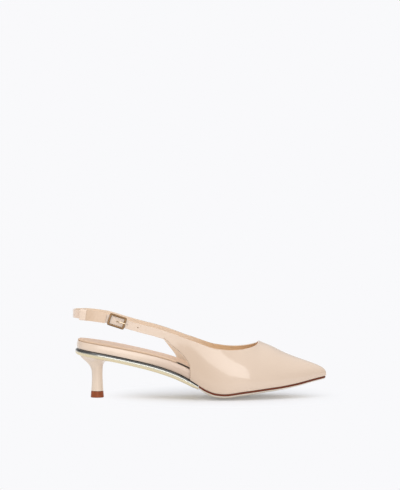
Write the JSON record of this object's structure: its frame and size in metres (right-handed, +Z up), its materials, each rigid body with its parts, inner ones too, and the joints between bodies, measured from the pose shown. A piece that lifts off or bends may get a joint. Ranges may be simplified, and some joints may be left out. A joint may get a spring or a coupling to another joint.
{
  "type": "slingback pump",
  "caption": "Pointed slingback pump with a low flared heel, a buckled strap round the heel and a metallic rand at the waist.",
  "frame": {"origin": "centre of the heel tip's ground face, on the floor", "axes": "+Z up, +X to the toe, +Y to the inner side of the foot"},
  "size_m": [0.2545, 0.0727, 0.0898],
  "materials": {
    "leather": "smooth glossy nude leather",
    "sock": "soft matt lining leather, slightly pinker",
    "rand_metal": "metallised pale gold",
    "outsole": "satin, dark brown edge over a cream ground face",
    "heel_wrap": "leather-wrapped, satin",
    "tip": "satin red-brown",
    "buckle_gold": "polished"
  },
  "bodies": {
    "root": {"upper": "leather", "sling_strap": "leather", "buckle_tab": "leather", "keeper": "leather", "footbed": "leather", "sock_pad": "sock", "rand": "rand_metal", "outsole": "outsole", "heel": "heel_wrap", "heel_tip": "tip", "buckle_frame": "buckle_gold", "buckle_prong": "buckle_gold"}
  },
  "joints": []
}
